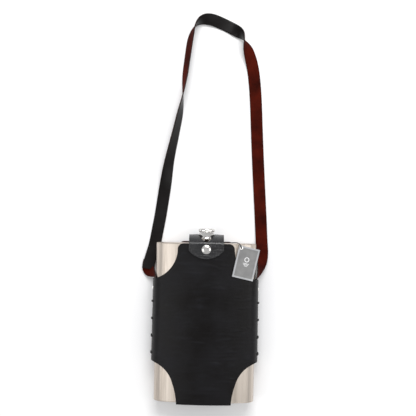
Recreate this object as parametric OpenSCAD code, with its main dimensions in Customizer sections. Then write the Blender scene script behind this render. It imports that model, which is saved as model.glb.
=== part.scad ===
// Steel canteen of the large hip-flask kind in a laced leather sleeve, lying on its back.
// +Y runs from the base to the screw cap, +Z from the back to the front, +X to the right.

/* [Flask] */
// Width of the steel body
flask_w = 160; // [140:1:180]
// Height of the steel body from base to shoulder
flask_h = 252; // [220:1:280]
// Radius of the rounded sides
side_r = 21; // [18:0.5:24]
// Radius of the bowed front
front_r = 240; // [220:5:300]
// Radius of the hollow back that sits on the hip
back_r = 400; // [350:10:600]
// Wall thickness of the steel wrap
wall = 0.8; // [0.6:0.1:1.2]

/* [Neck and cap] */
// Outer radius of the neck thread
neck_r = 8.5; // [8:0.1:9]
// Inner radius of the mouth
mouth_r = 6.8; // [6:0.1:7]
// Height of the cap's top above the shoulder
cap_top = 23.8; // [23:0.4:25]
// Radius of the cap's top disc
disc_r = 13.4; // [12.8:0.1:14]
// Travel of the cap as it unscrews
cap_lift = 4; // [2:0.5:4]

/* [Leather] */
// Thickness of the sleeve hide
hide = 2.5; // [2:0.1:3]
// Width of the closure tab
tab_w = 55; // [50:1:60]
// Distance from the shoulder down to the snap's centre
snap_drop = 9.1; // [8.5:0.3:10.3]
// Radius of the snap cap
snap_r = 7.2; // [6:0.1:8]
// Width of the shoulder strap
strap_w = 20; // [16:1:24]
// Thickness of the shoulder strap
strap_t = 2.2; // [1.6:0.1:2.6]

/* [Hang tag] */
// Width of the tag
tag_w = 35; // [25:1:45]
// Length of the tag
tag_l = 51; // [40:1:60]
// Thickness of the tag
tag_t = 1.4; // [1:0.1:2]

/* [Hidden] */

$fn = 96;
eps = 0.01;
fit_gap = 0.1;                 // standing gap between hide and steel
plate_t = 1.2;                 // end plates
base_y = -135.5;
shoulder_y = base_y + flask_h;
side_x = flask_w / 2 - side_r;
side_z = side_r + hide + fit_gap;
front_rise = sqrt(pow(front_r - side_r, 2) - pow(side_x, 2));
back_drop = sqrt(pow(back_r + side_r, 2) - pow(side_x, 2));
front_cz = side_z - front_rise;
back_cz = side_z - back_drop;
front_z = front_cz + front_r;  // crown of the steel front
back_z = back_cz + back_r;
neck_z = (front_z + back_z) / 2;

skin = fit_gap + hide;         // outer face of the hide above the steel

// Cap stack, heights above the shoulder
collar_h = 2;
neck_h = 11;
skirt_y = shoulder_y + 5;
skirt_top_y = shoulder_y + 16.2;
disc_y = shoulder_y + 17.9;
cap_top_y = shoulder_y + cap_top;
groove_r = 6.1;
arm_t = 1.3;
ball_r = 2.8;
hinge_y = shoulder_y + 7.5;
hinge_z = neck_z + 14.9;
pin_r = 0.95;
leg_in = 3.1;
leg_t = 2.6;
lug_half = 2.6;
face_half = 10.2;
face_t = 1.2;

// Closure tab
tab_t = 2.2;
bridge_cy = 96.4;
bridge_cz = 31.25;
bridge_r = 34.1;
flap_low = skin + 0.3;
flap_end_y = shoulder_y - 24.2;
flap_round = 34.7;
pivot_y = shoulder_y - 0.2;
snap_y = shoulder_y - snap_drop;
flap_top_z = front_z + flap_low + tab_t;

// Sleeve outline
cut_r = 51.5;
cut_x = 96.3;
cut_top_y = 108.3;
low_cut_r = 47.6;              // tight upper part of the lower cut
low_cut_x = 95.6;
low_cut_y = -118;
leg_cut_r = 114;               // long flat part beside the tongue
leg_cut_x = 156.7;
leg_cut_y = -144.8;
leg_from_y = -95;
tongue_half = 44.6;
top_corner = 9;
back_rise = 2;                 // how far the back panel stands above the shoulder

// The hide stands off the sides to take the strap's ends; its round is tangent to the front
// and level with the flask's own round at the back
pocket = 2.3;
wide_reach = side_x + side_r + fit_gap + pocket;
hide_f = front_r + fit_gap;
wide_low = side_z - side_r - fit_gap;
wide_a = hide_f - wide_low + front_cz;
wide_b = hide_f + wide_low - front_cz;
wide_p = 2 * wide_b - 2 * wide_reach;
wide_r = (-wide_p + sqrt(wide_p * wide_p - 4 * (wide_reach * wide_reach - wide_a * wide_b))) / 2;
wide_x = wide_reach - wide_r;
wide_z = wide_low + wide_r;

// Side lacing and strap anchors
lace_rows = [22, -5.5, -33, -59.5];
lace_r = 1.2;
lace_angle = 22;
anchor_y = 44;
anchor_r = 10;
anchor_top_y = 58.6;
anchor_t = 1.6;                // skived strap end
rivet_angle = 12.5;
rivet_r = 3;
rivet_shank = 1.4;

// Hang tag pose: flat on the bowed front, turned and leaning to the right
tag_lean = 15;
tag_turn = -12.8;
tag_y = 86.6;
tag_corner = 4;
tag_hole = 1.9;

// Each point of the strap: x, y, lift off the table, roll of the grain side from upright
strap_route = [
    [-94.6, 72, 3.3, 0], [-92, 84, 2.8, 0], [-88.6, 96, 2, 0], [-84.2, 112, 0.3, 0],
    [-80, 135, 0, 0], [-75.5, 161, 0, 0], [-69.5, 203, 0, 12], [-63, 248, 0, 42],
    [-54, 291, 0, 56], [-47, 326, 0, 66], [-43, 354, 0, 90], [-40, 386, 0, 114],
    [-36, 420, 0, 118], [-32, 448, 0, 116], [-25.5, 467, 1, 94], [-14, 477, 2, 52],
    [0, 479, 2, 18], [18, 473.5, 0, 4], [36, 465, 0, 4], [47, 457, 1, 40],
    [55, 446, 2, 94], [62, 429, 1, 148], [69, 405, 0, 176], [73, 380, 0, 180],
    [76, 345, 0, 180], [79.5, 280, 0, 180], [83.5, 215, 0, 180], [87, 163, 0, 180],
    [89.5, 122, 0, 178], [91, 102, 0, 168], [90.5, 86, 4, 144], [87.3, 73, 9.5, 118],
    [83.6, 64.5, 12.3, 102], [81.3, 59.3, 13, 90.5]];
strap_steps = 2;

// Each point of the left lug: x, y, lift, roll of its flesh side
lug_route = [[-81.3, 59.3, 13, 90.5], [-82.6, 62, 11.8, 106], [-85.8, 65, 8, 130],
             [-90, 68, 2.5, 160], [-93.6, 72, 0, 180], [-94, 79, 0, 180], [-92.6, 85.5, 0, 180]];

// The tag's cord runs from the neck, over the shoulder's edge, to the eyelet
tag_cord_route = [[9.6, 119.6, 29.7], [15, 119, 30], [24, 118.4, 32.5], [33, 118.2, 37],
                  [41, 118.4, 42], [46.5, 118.8, 46.5], [50, 118.2, 49.9], [52.8, 116.3, 52.9],
                  [54.3, 114.3, 53.6], [55.1, 112.4, 53.3], [55.25, 111.2, 52.3],
                  [55.15, 110.65, 51.2], [54.95, 110.56, 50.2]];
tag_cord_r = 0.6;

// ---- shared shapes ----

// Section of the flask across its width, grown by g
module flask_section(g = 0) {
    tip_f = front_r / (front_r - side_r);
    tip_b = side_r / (back_r + side_r);
    fx = side_x * tip_f;
    fz = front_cz + front_rise * tip_f;
    bx = side_x * (1 - tip_b);
    bz = side_z - back_drop * tip_b;
    for (s = [-1, 1])
        translate([s * side_x, side_z])
            circle(side_r + g);
    difference() {
        intersection() {
            translate([0, front_cz])
                circle(front_r + g, $fn = 360);
            polygon([[-bx, bz - 9], [bx, bz - 9], [bx, bz], [fx, fz], [fx, 200], [-fx, 200],
                     [-fx, fz], [-bx, bz]]);
        }
        translate([0, back_cz])
            circle(back_r - g, $fn = 360);
    }
}

// Section of the sleeve, grown by g from the hide's inner face
module sleeve_section(g = 0) {
    reach = hide_f + 60;
    tip = reach / (hide_f - wide_r);
    flask_section(fit_gap + g);
    for (s = [-1, 1]) {
        translate([s * wide_x, wide_z])
            circle(wide_r + g);
        translate([s > 0 ? side_x : -wide_x, wide_low - g])
            square([wide_x - side_x, side_r]);
    }
    intersection() {
        translate([0, front_cz])
            circle(hide_f + g, $fn = 360);
        polygon([[-wide_x, wide_z], [wide_x, wide_z],
                 [wide_x * tip, front_cz + (wide_z - front_cz) * tip],
                 [-wide_x * tip, front_cz + (wide_z - front_cz) * tip]]);
    }
}

// A drawing in X and Z carried along Y from y0 to y1
module along_y(y0, y1) {
    translate([0, y1, 0])
        rotate([90, 0, 0])
            linear_extrude(y1 - y0)
                children();
}

// A turned profile, drawn as radius and height, about the neck's axis
module about_neck(y0) {
    translate([0, y0, neck_z])
        rotate([-90, 0, 0])
            rotate_extrude()
                children();
}

// Layer of hide over the flask, between two distances from the steel
module hide_layer(low, high, y0, y1) {
    along_y(y0, y1)
        difference() {
            flask_section(high);
            flask_section(low);
        }
}

// The sleeve's hide: the same layer all round
module sleeve_layer(y0, y1) {
    along_y(y0, y1)
        difference() {
            sleeve_section(hide);
            sleeve_section(0);
        }
}

// The hide as it is cut, seen from the front: both waists scooped out
module sleeve_outline(rise = 0) {
    difference() {
        translate([-95, base_y])
            square([190, flask_h + rise]);
        for (s = [-1, 1]) {
            translate([s * cut_x, cut_top_y + rise / 2])
                circle(cut_r + rise / 2);
            translate([s * low_cut_x, low_cut_y])
                circle(low_cut_r);
            intersection() {
                translate([s * leg_cut_x, leg_cut_y])
                    circle(leg_cut_r, $fn = 360);
                translate([s > 0 ? 30 : -110, base_y - 5])
                    square([80, leg_from_y - base_y + 5]);
            }
            translate([s * (cut_x - cut_r - top_corner), shoulder_y + rise - top_corner])
                difference() {
                    translate([s > 0 ? 0 : -top_corner - 2, 0])
                        square([top_corner + 2, top_corner + eps]);
                    circle(top_corner);
                }
        }
    }
}

// A hole or shank drilled square into the sleeve's rounded side
module side_drill(s, y, a, r, r0, r1) {
    translate([s * wide_x, y, wide_z])
        rotate([0, s > 0 ? 90 - a : a - 90, 0])
            translate([0, 0, r0])
                cylinder(r = r, h = r1 - r0, $fn = 32);
}

module lace_holes(s, a) {
    for (y = lace_rows)
        side_drill(s, y, a, lace_r + 0.4, wide_r - 1, wide_r + 8);
}

module rivet_holes(s) {
    for (a = [-rivet_angle, rivet_angle])
        side_drill(s, anchor_y, a, rivet_shank + 0.05, wide_r - 4, wide_r + 9);
}

// ---- sweeps ----

// Catmull-Rom point between b and c
function blend4(a, b, c, d, t) =
    0.5 * (2 * b + (c - a) * t + (2 * a - 5 * b + 4 * c - d) * t * t
           + (3 * b - a - 3 * c + d) * t * t * t);

function smooth_route(p, steps) = [
    for (i = [0:len(p) - 2], k = [0:steps - 1])
        blend4(p[max(i - 1, 0)], p[i], p[i + 1], p[min(i + 2, len(p) - 1)], k / steps),
    p[len(p) - 1]];

function unit(v) = v / norm(v);

// Half section of a strap, as shares of its width and thickness
strap_section = [[1, 0.4], [0.9, 1], [-0.9, 1], [-1, 0.4], [-1, -0.4], [-0.9, -1], [0.9, -1],
                 [1, -0.4]];

// Height of the strap's centre with its lower edge on the table
function strap_height(roll, lift) =
    0.1 + lift + strap_w / 2 * abs(sin(roll)) + strap_t / 2 * abs(cos(roll));

module skin_rings(rings) {
    n = len(rings[0]);
    m = len(rings);
    polyhedron(
        points = [for (r = rings, p = r) p],
        faces = [
            [for (k = [n - 1:-1:0]) k],
            for (i = [0:m - 2], k = [0:n - 1])
                [i * n + k, (i + 1) * n + (k + 1) % n, (i + 1) * n + k],
            for (i = [0:m - 2], k = [0:n - 1])
                [i * n + k, i * n + (k + 1) % n, (i + 1) * n + (k + 1) % n],
            [for (k = [0:n - 1]) (m - 1) * n + k]]);
}

// A flat strap swept along route points [x, y, lift, roll]
module flat_sweep(route, steps, width) {
    p = smooth_route(route, steps);
    m = len(p);
    rings = [
        for (i = [0:m - 1])
            let (q = p[i],
                 ahead = p[min(i + 1, m - 1)],
                 behind = p[max(i - 1, 0)],
                 along = unit([ahead[0] - behind[0], ahead[1] - behind[1], 0]),
                 across = [along[1], -along[0], 0],
                 wide = across * cos(q[3]) - [0, 0, sin(q[3])],
                 thick = [0, 0, cos(q[3])] + across * sin(q[3]),
                 centre = [q[0], q[1], strap_height(q[3], q[2])])
            [for (s = strap_section)
                centre + wide * s[0] * width / 2 + thick * s[1] * strap_t / 2]];
    skin_rings(rings);
}

// A round cord swept along its own points
module round_sweep(route, radius, sides) {
    p = smooth_route(route, 2);
    m = len(p);
    rings = [
        for (i = [0:m - 1])
            let (along = unit(p[min(i + 1, m - 1)] - p[max(i - 1, 0)]),
                 side = unit(cross(along, [0, 0, 1])),
                 up = cross(side, along))
            [for (k = [0:sides - 1])
                p[i] + radius * (side * cos(360 * k / sides) + up * sin(360 * k / sides))]];
    skin_rings(rings);
}

// ---- steel flask ----

module flask_body() {
    color("#c9c2b8")
        along_y(base_y + plate_t, shoulder_y - plate_t)
            difference() {
                flask_section(0);
                flask_section(-wall);
            }
}

module flask_shoulder() {
    color("#c9c2b8")
        difference() {
            along_y(shoulder_y - plate_t, shoulder_y)
                flask_section(0);
            translate([0, shoulder_y - 4, neck_z])
                rotate([-90, 0, 0])
                    cylinder(r = neck_r + 0.05, h = 6);
        }
}

module flask_base() {
    color("#c9c2b8")
        along_y(base_y, base_y + plate_t)
            flask_section(0);
}

module neck() {
    root_r = neck_r - 0.7;
    color("#d8d8d8")
        about_neck(shoulder_y - 3)
            polygon([[mouth_r, 0], [neck_r, 0], [neck_r, 7], [root_r, 7.6], [root_r, 8.2],
                     [neck_r, 8.8], [neck_r, 9.2], [root_r, 9.8], [root_r, 10.4], [neck_r, 11],
                     [neck_r, 11.4], [root_r, 12], [root_r, 12.6], [neck_r, 13.2],
                     [neck_r - 0.3, neck_h + 3], [mouth_r, neck_h + 3]]);
}

module neck_collar() {
    color("#d8d8d8")
        about_neck(shoulder_y)
            polygon([[neck_r + 0.05, 0], [neck_r + 4, 0], [neck_r + 4, 0.8],
                     [neck_r + 2.6, collar_h], [neck_r + 0.05, collar_h]]);
}

// ---- captive cap ----

// A slotted lug between the arm's two legs lets the pin rise as the cap unscrews
module hinge_bracket() {
    lug_len = hinge_y - shoulder_y + cap_lift + 1.9;
    color("#d8d8d8")
        difference() {
            union() {
                translate([-leg_in - leg_t, shoulder_y, hinge_z - 2.3])
                    cube([2 * (leg_in + leg_t), 1.2, 5]);
                translate([-lug_half, shoulder_y, hinge_z - 2.3])
                    cube([2 * lug_half, lug_len, 4.6]);
                for (q = [[hinge_y, ball_r], [shoulder_y + lug_len, 2.3]])
                    translate([-lug_half, q[0], hinge_z])
                        rotate([0, 90, 0])
                            cylinder(r = q[1], h = 2 * lug_half);
            }
            for (dy = [0, cap_lift])
                translate([-20, hinge_y + dy, hinge_z])
                    rotate([0, 90, 0])
                        cylinder(r = pin_r + 0.1, h = 40, $fn = 32);
            translate([-20, hinge_y, hinge_z - pin_r - 0.1])
                cube([40, cap_lift, 2 * pin_r + 0.2]);
        }
}

module hinge_pin() {
    reach = leg_in + leg_t;
    color("#e4e4e4")
        translate([0, hinge_y, hinge_z])
            rotate([0, 90, 0]) {
                translate([0, 0, -reach - 0.7])
                    cylinder(r = pin_r, h = 2 * reach + 1.4, $fn = 32);
                for (s = [-reach - 0.8, reach + 0.2])
                    translate([0, 0, s])
                        cylinder(r = 1.7, h = 0.6, $fn = 32);
            }
}

// Ring under the disc, a tapered face in front, and a leg each side of the lug
module cap_arm() {
    ring_y = skirt_top_y + 0.2;
    face_z = hinge_z + 2.5;
    foot_y = hinge_y + 3.6;
    color("#e4e4e4")
        difference() {
            union() {
                about_neck(ring_y)
                    translate([groove_r + 0.2, 0])
                        square([5.4, arm_t]);
                translate([-face_half, ring_y, neck_z + 6.7])
                    cube([2 * face_half, arm_t, face_z + face_t - neck_z - 6.7]);
                translate([0, 0, face_z])
                    linear_extrude(face_t)
                        polygon([[-face_half, ring_y + arm_t], [-face_half, ring_y - 0.4],
                                 [-leg_in - leg_t, foot_y], [leg_in + leg_t, foot_y],
                                 [face_half, ring_y - 0.4], [face_half, ring_y + arm_t]]);
                for (s = [-1, 1])
                    translate([s > 0 ? leg_in : -leg_in - leg_t, hinge_y, hinge_z - 2.3]) {
                        cube([leg_t, 4.6, face_z + face_t - hinge_z + 2.3]);
                        translate([0, 0, 2.3])
                            rotate([0, 90, 0])
                                cylinder(r = 2.3, h = leg_t);
                    }
            }
            translate([-20, hinge_y, hinge_z])
                rotate([0, 90, 0])
                    cylinder(r = pin_r + 0.02, h = 40, $fn = 32);
        }
}

module cap_skirt() {
    bore_r = neck_r + 0.4;
    depth = skirt_top_y - skirt_y;
    color("#e8e8e8")
        about_neck(skirt_y)
            polygon([[bore_r, 0], [bore_r + 1.8, 0], [bore_r + 2.1, 0.4], [12, depth - 0.8],
                     [11.6, depth], [groove_r, depth], [groove_r, disc_y - skirt_y], [0, disc_y - skirt_y],
                     [0, depth - 3.2], [bore_r, depth - 3.2]]);
}

module cap_disc() {
    h = cap_top_y - disc_y;
    color("#f0f0f0")
        about_neck(disc_y)
            difference() {
                union() {
                    square([disc_r - 1.4, h - 0.2]);
                    translate([0, 1])
                        square([disc_r, h - 2.4]);
                    translate([disc_r - 1.4, 1])
                        intersection() {
                            circle(1.4, $fn = 32);
                            translate([0, -1])
                                square([2, 2.4]);
                        }
                    translate([disc_r - 1.4, h - 1.4])
                        circle(1.4, $fn = 32);
                    square([disc_r - 2, h]);
                }
                translate([-40, -2])
                    square([40, h + 6]);
                translate([0, -2])
                    square([40, 2]);
            }
}

module cap_seal() {
    color("#e9e4da")
        about_neck(shoulder_y + neck_h + 0.3)
            translate([4, 0])
                square([neck_r - 4.2 + 0.4, 1.4]);
}

// ---- leather sleeve ----

module sleeve_front() {
    color("#1c1815")
        difference() {
            intersection() {
                sleeve_layer(base_y, shoulder_y);
                translate([0, 0, side_z + 0.2])
                    linear_extrude(80)
                        sleeve_outline();
            }
            for (s = [-1, 1]) {
                lace_holes(s, lace_angle);
                rivet_holes(s);
            }
            translate([0, snap_y, front_z - 2])
                cylinder(r = 2.25, h = 9, $fn = 32);
        }
}

module sleeve_back() {
    color("#1c1815")
        difference() {
            intersection() {
                sleeve_layer(base_y, shoulder_y + back_rise);
                translate([0, 0, side_z - 0.2 - 80])
                    linear_extrude(80)
                        sleeve_outline(back_rise);
            }
            for (s = [-1, 1]) {
                lace_holes(s, -lace_angle);
                rivet_holes(s);
            }
            translate([-tab_w / 2 - 0.2, shoulder_y + 0.02, -5])
                cube([tab_w + 0.4, 10, 30]);
        }
}

// The tongue of hide that passes under the base
module sleeve_base() {
    color("#1c1815")
        intersection() {
            along_y(base_y - hide, base_y - fit_gap)
                sleeve_section(hide);
            translate([-tongue_half + 1.6, base_y - 10, -10])
                cube([2 * tongue_half - 3.2, 20, 90]);
        }
}

// ---- closure tab ----

// The tab where it bows from the back over the shoulder, open around the cap
module tab_bridge() {
    cut_z = 16;
    color("#2a1d18")
        difference() {
            translate([-tab_w / 2, 0, 0])
                rotate([90, 0, 90])
                    linear_extrude(tab_w)
                        intersection() {
                            translate([bridge_cy, bridge_cz])
                                difference() {
                                    circle(bridge_r, $fn = 180);
                                    circle(bridge_r - tab_t, $fn = 180);
                                }
                            translate([shoulder_y + fit_gap, 0])
                                square([40, flap_top_z - 0.3]);
                        }
            translate([0, shoulder_y - 5, neck_z])
                rotate([-90, 0, 0])
                    cylinder(r = disc_r + 0.9, h = 30);
            translate([-7.6, shoulder_y - 5, neck_z])
                cube([15.2, 30, 60]);
        }
}

module flap_outline() {
    intersection() {
        translate([-tab_w / 2, flap_end_y - 5])
            square([tab_w, pivot_y - flap_end_y + 5]);
        translate([0, flap_end_y + flap_round])
            circle(flap_round, $fn = 180);
    }
}

module tab_flap() {
    color("#25262a")
        difference() {
            intersection() {
                hide_layer(flap_low, flap_low + tab_t, flap_end_y - 2, pivot_y);
                translate([0, 0, side_z + 10])
                    linear_extrude(60)
                        flap_outline();
            }
            translate([0, snap_y, front_z])
                cylinder(r = 5.3, h = 12);
        }
}

module snap_cap() {
    crown = 15;
    rise = sqrt(crown * crown - snap_r * snap_r);
    color("#f2f2f2")
        translate([0, snap_y, flap_top_z + 0.02])
            rotate_extrude()
                intersection() {
                    square([snap_r, 6]);
                    translate([0, 0.7 - rise])
                        circle(crown, $fn = 128);
                }
}

module snap_socket() {
    color("#d0d0d0")
        translate([0, snap_y, flap_top_z - tab_t])
            rotate_extrude()
                translate([3.6, 0])
                    square([1.6, tab_t]);
}

module snap_stud() {
    panel_z = front_z + skin;
    color("#d0d0d0")
        translate([0, snap_y, 0]) {
            translate([0, 0, front_z + 0.12])
                cylinder(r = 2.2, h = skin + 0.6, $fn = 48);
            translate([0, 0, panel_z + 0.05])
                cylinder(r = 2.9, h = 1.5, $fn = 48);
        }
}

// ---- side lacing ----

// Each stitch spans the seam and dips into its two holes
module lace(s) {
    lace_path = wide_r + hide + lace_r + 0.05;
    dip = 2.4;
    color("#171412")
        for (y = lace_rows) {
            translate([s * wide_x, y, wide_z])
                rotate([90, 0, 0])
                    rotate([0, 0, s > 0 ? -lace_angle : 180 - lace_angle])
                        rotate_extrude(angle = 2 * lace_angle)
                            translate([lace_path, 0])
                                circle(lace_r, $fn = 24);
            for (a = [-lace_angle, lace_angle])
                side_drill(s, y, a, lace_r, lace_path - dip, lace_path);
        }
}

module lace_left() { lace(-1); }
module lace_right() { lace(1); }

// ---- strap and its fixings ----

// The strap's skived end, inside the sleeve
module strap_anchor(s) {
    inner = side_r + 0.05;
    color("#2a1712")
        difference() {
            intersection() {
                translate([s * side_x, anchor_top_y, side_z])
                    rotate([90, 0, 0])
                        linear_extrude(anchor_top_y - anchor_y + anchor_r)
                            difference() {
                                circle(inner + anchor_t);
                                circle(inner);
                            }
                translate([s > 0 ? side_x : -side_x - 40, 0, 0])
                    rotate([90, 0, 90])
                        linear_extrude(40) {
                            translate([anchor_y, side_z])
                                circle(anchor_r);
                            translate([anchor_y, side_z - anchor_r])
                                square([anchor_top_y - anchor_y, 2 * anchor_r]);
                        }
            }
            rivet_holes(s);
        }
}

module strap_anchor_left() { strap_anchor(-1); }
module strap_anchor_right() { strap_anchor(1); }

// One rivet through each panel of the hide and the strap's end
module strap_rivets(s) {
    outer = wide_r + hide + 0.04;
    color("#e0e0e0")
        for (a = [-rivet_angle, rivet_angle]) {
            side_drill(s, anchor_y, a, rivet_shank, wide_r - 2.1, outer + 0.3);
            side_drill(s, anchor_y, a, rivet_r, outer, outer + 0.5);
            side_drill(s, anchor_y, a, rivet_r - 0.9, outer + 0.4, outer + 0.95);
        }
}

module strap_rivets_left() { strap_rivets(-1); }
module strap_rivets_right() { strap_rivets(1); }

module strap_lug_left() {
    color("#5a2317")
        flat_sweep(lug_route, 3, strap_w);
}

module shoulder_strap() {
    color("#3a140c")
        flat_sweep(strap_route, strap_steps, strap_w);
}

// ---- hang tag ----

module on_tag() {
    reach = front_r + skin;
    translate([reach * sin(tag_lean), tag_y, front_cz + reach * cos(tag_lean)])
        rotate([0, tag_lean, 0])
            translate([0, 0, 0.35])
                rotate([0, 0, tag_turn])
                    children();
}

module tag_hole_place() {
    translate([-tag_w / 2 + tag_corner, tag_l / 2 - tag_corner, 0])
        children();
}

module hang_tag() {
    color("#838383")
        on_tag()
            difference() {
                translate([-tag_w / 2, -tag_l / 2, 0])
                    cube([tag_w, tag_l, tag_t]);
                tag_hole_place()
                    translate([0, 0, -1])
                        cylinder(r = tag_hole + 0.3, h = 6, $fn = 32);
            }
}

module tag_eyelet() {
    color("#d8d8d8")
        on_tag()
            tag_hole_place()
                rotate_extrude($fn = 32)
                    polygon([[tag_hole - 0.5, 0], [tag_hole + 0.25, 0], [tag_hole + 0.25, tag_t],
                             [tag_hole + 1.1, tag_t], [tag_hole + 1.1, tag_t + 0.35],
                             [tag_hole - 0.5, tag_t + 0.35]]);
}

module tag_cord() {
    color("#1a1a1a") {
        about_neck(shoulder_y + 3.1)
            translate([neck_r + 0.8, 0])
                circle(tag_cord_r, $fn = 24);
        round_sweep(tag_cord_route, tag_cord_r, 8);
    }
}

flask_body();
flask_shoulder();
flask_base();
neck();
neck_collar();
hinge_bracket();
hinge_pin();
cap_arm();
cap_skirt();
cap_disc();
cap_seal();
sleeve_front();
sleeve_back();
sleeve_base();
tab_bridge();
tab_flap();
snap_cap();
snap_socket();
snap_stud();
lace_left();
lace_right();
strap_anchor_left();
strap_anchor_right();
strap_rivets_left();
strap_rivets_right();
strap_lug_left();
shoulder_strap();
hang_tag();
tag_eyelet();
tag_cord();
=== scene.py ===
import bpy
import bmesh
from math import acos, asin, cos, pi, radians, sin, sqrt
from mathutils import Matrix, Vector, noise


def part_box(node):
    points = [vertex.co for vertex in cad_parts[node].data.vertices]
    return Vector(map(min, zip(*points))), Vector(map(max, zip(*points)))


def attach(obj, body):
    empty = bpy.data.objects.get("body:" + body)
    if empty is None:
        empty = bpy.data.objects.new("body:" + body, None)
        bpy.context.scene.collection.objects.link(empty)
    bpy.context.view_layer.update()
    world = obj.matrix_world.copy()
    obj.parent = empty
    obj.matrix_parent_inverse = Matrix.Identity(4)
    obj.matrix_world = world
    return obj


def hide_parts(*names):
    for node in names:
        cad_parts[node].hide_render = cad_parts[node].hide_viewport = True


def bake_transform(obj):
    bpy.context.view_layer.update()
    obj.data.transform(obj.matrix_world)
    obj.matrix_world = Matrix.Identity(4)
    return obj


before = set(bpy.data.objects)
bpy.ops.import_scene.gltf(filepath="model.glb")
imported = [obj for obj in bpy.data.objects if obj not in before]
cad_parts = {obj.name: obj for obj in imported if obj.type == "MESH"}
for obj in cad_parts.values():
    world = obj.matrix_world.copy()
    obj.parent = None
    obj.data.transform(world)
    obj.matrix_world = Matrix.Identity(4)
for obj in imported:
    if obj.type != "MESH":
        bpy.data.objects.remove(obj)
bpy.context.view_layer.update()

mm = 0.001
rootBody = "canteen"

# the flask's own sizes, in millimetres

flask = {
    "sideX": 59.0, "sideR": 21.0,                  # centre and radius of the round sides
    "frontR": 240.0, "backR": 400.0,               # bow of the front, hollow of the back
    "gap": 0.1, "hide": 2.5, "pocket": 2.3,        # pocket: how far the hide stands off the sides
}
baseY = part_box("flask_base")[0].y / mm
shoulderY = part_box("flask_shoulder")[1].y / mm
sideZ = flask["sideR"] + flask["hide"] + flask["gap"]
frontSpan = flask["frontR"] - flask["sideR"]
backSpan = flask["backR"] + flask["sideR"]
frontCz = sideZ - sqrt(frontSpan ** 2 - flask["sideX"] ** 2)
backCz = sideZ - sqrt(backSpan ** 2 - flask["sideX"] ** 2)
frontZ = frontCz + flask["frontR"]
neckZ = (frontZ + backCz + flask["backR"]) / 2
backTurn = asin(flask["sideX"] / backSpan)

# the hide's own round at the sides: tangent to the front, level with the flask's round behind
hideFront = flask["frontR"] + flask["gap"]
hideSide = flask["sideR"] + flask["gap"]
hideBack = flask["backR"] - flask["gap"]
wideReach = flask["sideX"] + hideSide + flask["pocket"]
wideLow = sideZ - hideSide
wideHalf = hideFront + wideLow - frontCz - wideReach
wideRest = wideReach ** 2 - (hideFront - wideLow + frontCz) * (hideFront + wideLow - frontCz)
wideR = -wideHalf + sqrt(wideHalf ** 2 - wideRest)
wideX = wideReach - wideR
wideZ = wideLow + wideR
wideTurn = asin(wideX / (hideFront - wideR))

# lengths round the middle of the hide, from the front's middle to the back's middle
mid = flask["hide"] / 2
wideTop = pi / 2 - wideTurn
frontLen = (hideFront + mid) * wideTurn
wideLen = frontLen + (wideR + mid) * (wideTop + pi / 2)
flatLen = wideLen + wideX - flask["sideX"]
turnLen = flatLen + (hideSide + mid) * backTurn
roundLen = turnLen + (hideBack - mid) * backTurn
seamLen = frontLen + (wideR + mid) * (wideTop - asin((sideZ - wideZ) / (wideR + mid)))


# x, z and outward normal at a distance from the front's middle, off millimetres above the hide's inner face
def sectionPoint(station, off):
    d = min(abs(station), roundLen)
    if d <= frontLen:
        a = d / (hideFront + mid)
        r = hideFront + off
        x, z, nx, nz = r * sin(a), frontCz + r * cos(a), sin(a), cos(a)
    elif d <= wideLen:
        a = wideTop - (d - frontLen) / (wideR + mid)
        r = wideR + off
        x, z, nx, nz = wideX + r * cos(a), wideZ + r * sin(a), cos(a), sin(a)
    elif d <= flatLen:
        x, z, nx, nz = wideX - (d - wideLen), wideLow - off, 0, -1
    elif d <= turnLen:
        a = -pi / 2 - (d - flatLen) / (hideSide + mid)
        r = hideSide + off
        x, z, nx, nz = flask["sideX"] + r * cos(a), sideZ + r * sin(a), cos(a), sin(a)
    else:
        a = (roundLen - d) / (hideBack - mid)
        r = hideBack - off
        x, z, nx, nz = r * sin(a), backCz + r * cos(a), -sin(a), -cos(a)
    s = -1 if station < 0 else 1
    return s * x, z, s * nx, nz


# distance from the front's middle to the place whose x is given
def frontStation(x):
    if x <= (hideFront + mid) * sin(wideTurn):
        return (hideFront + mid) * asin(x / (hideFront + mid))
    return frontLen + (wideTop - acos(min(1, (x - wideX) / (wideR + mid)))) * (wideR + mid)


def backStation(x):
    if x <= (hideBack - mid) * sin(backTurn):
        return roundLen - (hideBack - mid) * asin(x / (hideBack - mid))
    if x <= flask["sideX"]:
        return flatLen + (hideSide + mid) * (acos((x - flask["sideX"]) / (hideSide + mid)) - pi / 2)
    if x <= wideX:
        return wideLen + wideX - x
    return frontLen + (wideTop + acos(min(1, (x - wideX) / (wideR + mid)))) * (wideR + mid)


# small tools

# sRGB hex to the linear colour that a shader takes
def linear(hexText):
    out = []
    for k in (0, 2, 4):
        c = int(hexText[k:k + 2], 16) / 255
        out.append(c / 12.92 if c <= 0.04045 else ((c + 0.055) / 1.055) ** 2.4)
    return (*out, 1)


# adds a node, sets its properties, and fills or links its inputs
def addNode(tree, kind, settings=None, inputs=None):
    node = tree.nodes.new("ShaderNode" + kind)
    for key, value in (settings or {}).items():
        setattr(node, key, value)
    for key, value in (inputs or {}).items():
        if isinstance(value, bpy.types.NodeSocket):
            tree.links.new(value, node.inputs[key])
        else:
            node.inputs[key].default_value = value
    return node


# a material whose Principled shader has its constants set on its own sockets
def newMaterial(name, shader):
    material = bpy.data.materials.new(name)
    material.use_nodes = True
    tree = material.node_tree
    bsdf = tree.nodes["Principled BSDF"]
    for key, value in shader.items():
        bsdf.inputs[key].default_value = value
    return material, tree, bsdf


# colour ramp from a list of (place, hex)
def ramp(tree, fac, stops):
    node = addNode(tree, "ValToRGB", None, {"Fac": fac})
    while len(node.color_ramp.elements) < len(stops):
        node.color_ramp.elements.new(0.5)
    for element, (place, colour) in zip(node.color_ramp.elements, stops):
        element.position = place
        element.color = linear(colour)
    return node.outputs["Color"]


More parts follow.
